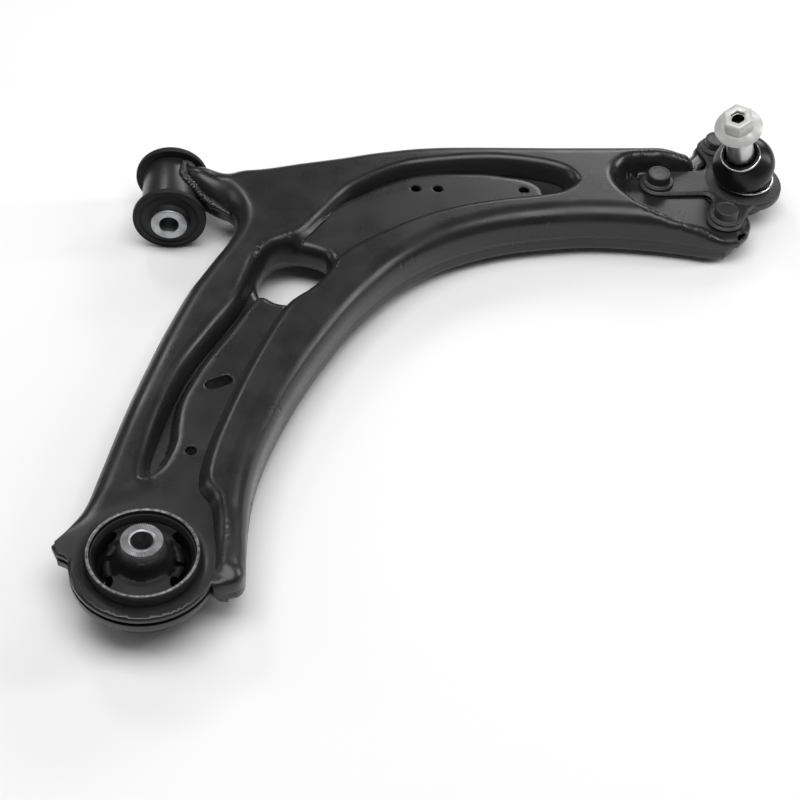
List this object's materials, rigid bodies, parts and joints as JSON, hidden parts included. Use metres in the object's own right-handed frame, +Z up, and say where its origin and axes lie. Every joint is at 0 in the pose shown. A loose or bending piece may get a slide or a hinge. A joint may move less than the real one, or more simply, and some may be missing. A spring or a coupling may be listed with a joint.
{
  "type": "front lower control arm",
  "caption": "Stamped steel L-shaped lower control arm with a rear bush on a vertical axis, a front bush on a horizontal axis and a bolted ball joint with boot, stud and nut.",
  "frame": {"origin": "middle of the rear bush's bore", "axes": "+Z up along the rear bush, +Y towards the front bush, +X outwards to the ball joint"},
  "size_m": [0.456, 0.4175, 0.1031],
  "materials": {
    "painted_steel": "black satin coat over pressed steel",
    "bush_rubber": "matte moulded rubber",
    "boot_rubber": "semi-gloss moulded rubber",
    "sleeve_steel": "turned steel, satin",
    "zinc_steel": "zinc plated",
    "clip_wire": "bright spring wire",
    "ball_steel": "ground and polished",
    "liner_plastic": "moulded acetal"
  },
  "bodies": {
    "arm": {"upper_shell": "painted_steel", "lower_shell": "painted_steel", "shell_weld_bead": "painted_steel", "front_bush_tube": "painted_steel", "tube_weld_bead": "painted_steel", "front_outer_sleeve": "painted_steel", "front_bush_rubber": "bush_rubber", "rear_bush_can": "painted_steel", "rear_bush_rubber": "bush_rubber", "ball_joint_plate": "painted_steel", "bearing_liner": "liner_plastic", "preload_ring": "bush_rubber", "housing_cover": "painted_steel", "boot": "boot_rubber", "lower_boot_clip": "clip_wire", "plate_bolts": "painted_steel", "plate_nuts": "painted_steel"},
    "front_inner": {"front_inner_sleeve": "sleeve_steel"},
    "rear_inner": {"rear_inner_sleeve": "sleeve_steel"},
    "ball": {"joint_ball": "ball_steel"},
    "boot_collar": {"upper_boot_clip": "clip_wire"},
    "stud": {"ball_stud": "zinc_steel", "flange_nut": "zinc_steel"}
  },
  "joints": [
    {"name": "front_bush_twist", "type": "hinge", "parent": "arm", "child": "front_inner", "pos_m": [0, 0.308, 0], "axis": [0, 1, 0], "range_deg": [-20, 20], "stiffness_Nm_per_rad": 3},
    {"name": "rear_bush_tilt", "type": "hinge", "parent": "arm", "child": "rear_inner", "pos_m": [0, 0, 0], "axis": [0, 1, 0], "range_deg": [-10, 10], "stiffness_Nm_per_rad": 8, "deforming": ["rear_bush_rubber"]},
    {"name": "stud_lean_back", "type": "hinge", "parent": "arm", "child": "ball", "pos_m": [0.38, 0.33, 0.004], "axis": [1, 0, 0], "range_deg": [-37, 3], "deforming": ["boot"]},
    {"name": "stud_lean_side", "type": "hinge", "parent": "ball", "child": "boot_collar", "pos_m": [0.38, 0.33, 0.004], "axis": [0, 0.9563, 0.2924], "range_deg": [-4.5, 35.5], "deforming": ["boot"]},
    {"name": "stud_spin", "type": "hinge", "parent": "boot_collar", "child": "stud", "pos_m": [0.38, 0.33, 0.004], "axis": [-0.2672, -0.2817, 0.9215], "continuous": true}
  ]
}
